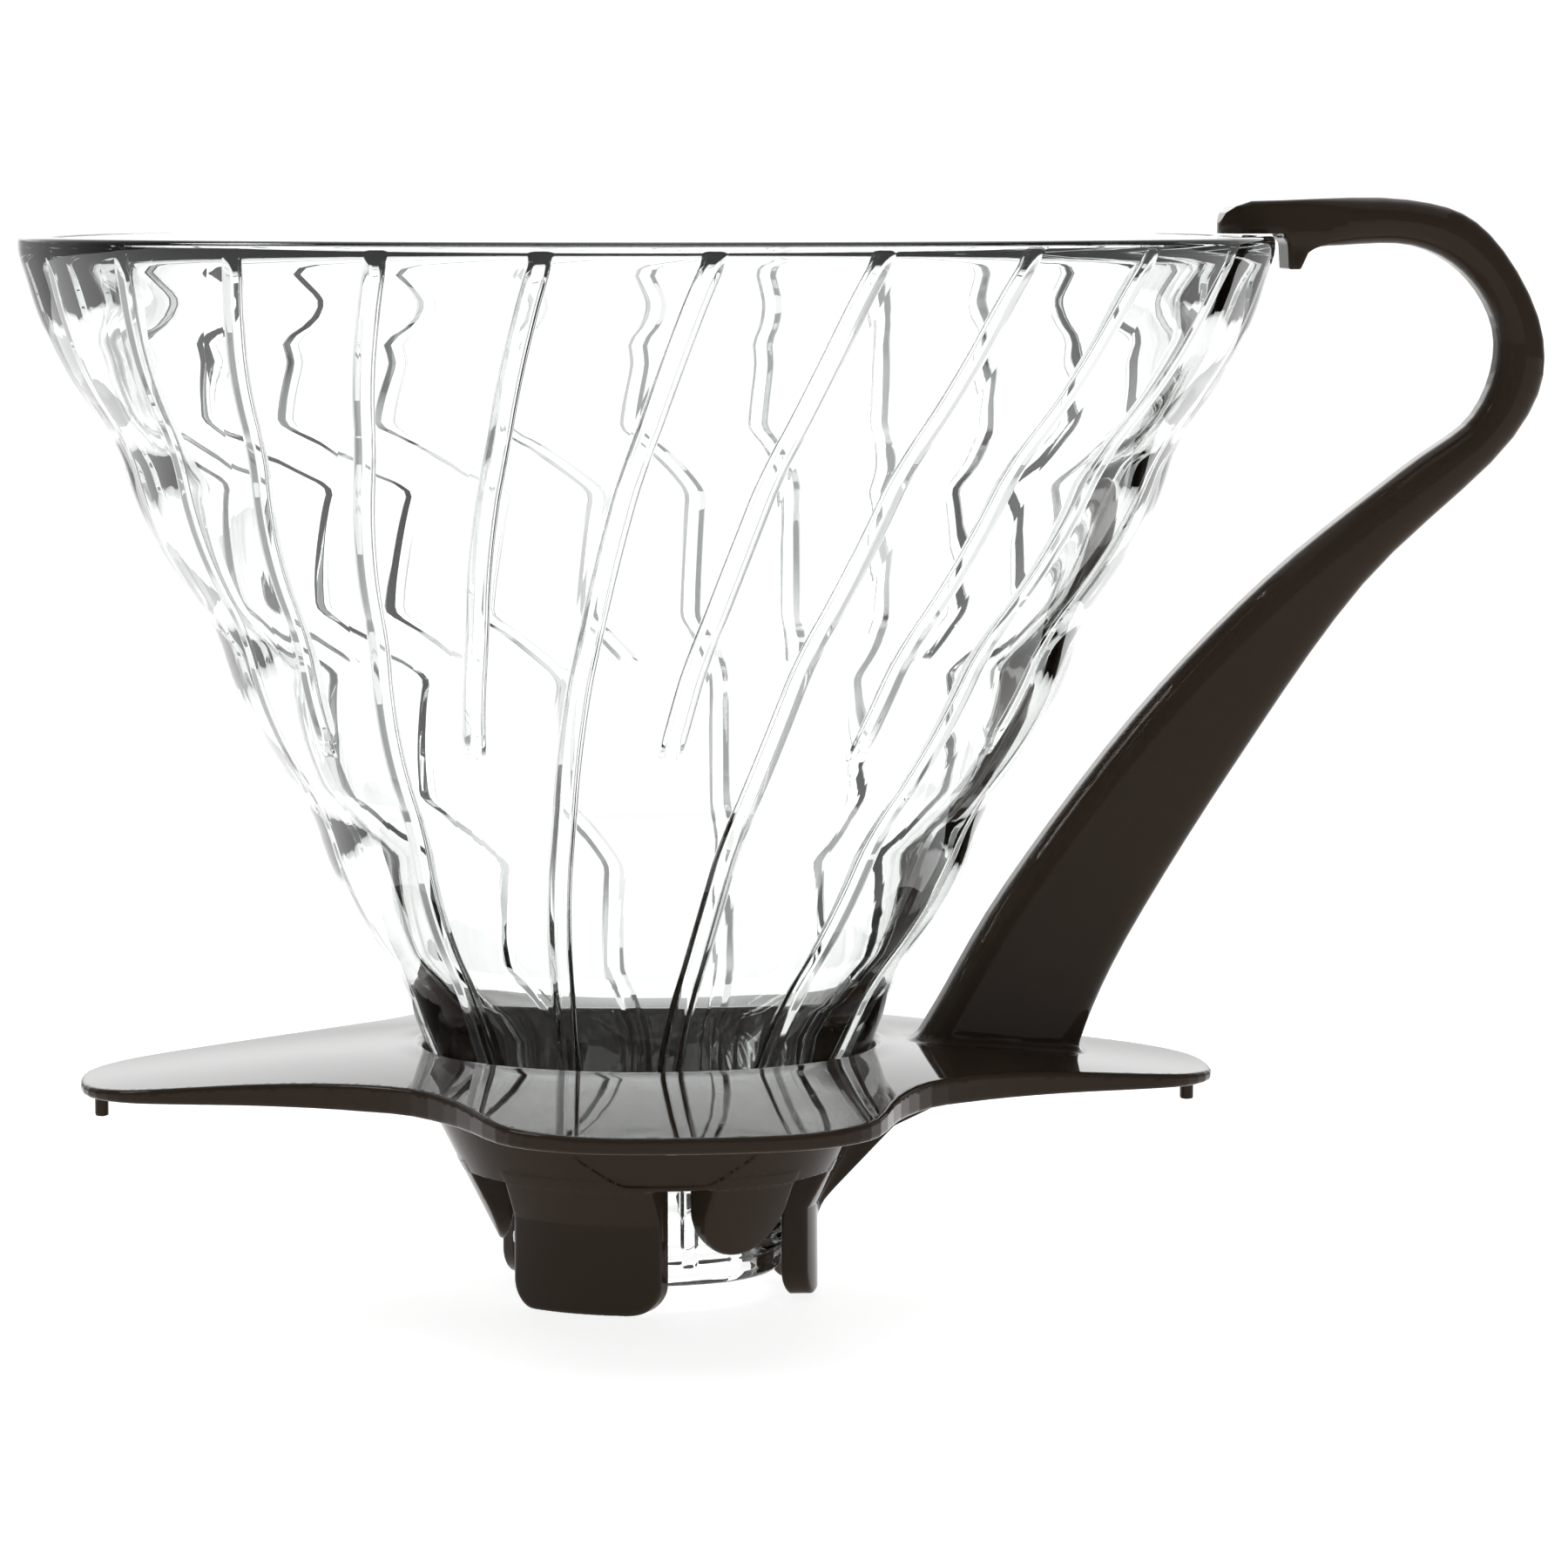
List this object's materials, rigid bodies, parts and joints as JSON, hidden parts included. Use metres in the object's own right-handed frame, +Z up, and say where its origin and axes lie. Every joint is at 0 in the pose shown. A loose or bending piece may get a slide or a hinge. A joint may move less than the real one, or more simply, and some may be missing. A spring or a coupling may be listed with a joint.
{
  "type": "pour over dripper",
  "caption": "Clear ribbed glass cone with a wide outlet, held in a glossy black moulded stand with a lobed plate, short feet and a handle that hooks over the rim.",
  "frame": {"origin": "middle of the whole width and depth, on the plane of the three feet's flat ends", "axes": "+X towards the handle, +Z up; the cone's axis is parallel to Z at x = -12.7 mm, y = 0"},
  "size_m": [0.1378, 0.1122, 0.0987],
  "materials": {
    "clear_glass": "clear, polished",
    "black_plastic": "gloss, warm black",
    "soft_ring": "soft, satin"
  },
  "bodies": {
    "stand": {"base_plate": "black_plastic", "seat_cup": "black_plastic", "handle": "black_plastic", "cushion_ring": "soft_ring"},
    "glass": {"glass_cone": "clear_glass"}
  },
  "joints": [
    {"name": "glass_turn", "type": "hinge", "parent": "stand", "child": "glass", "pos_m": [-0.0127, 0, 0.0138], "axis": [0, 0, 1], "range_deg": [0, 60]}
  ]
}
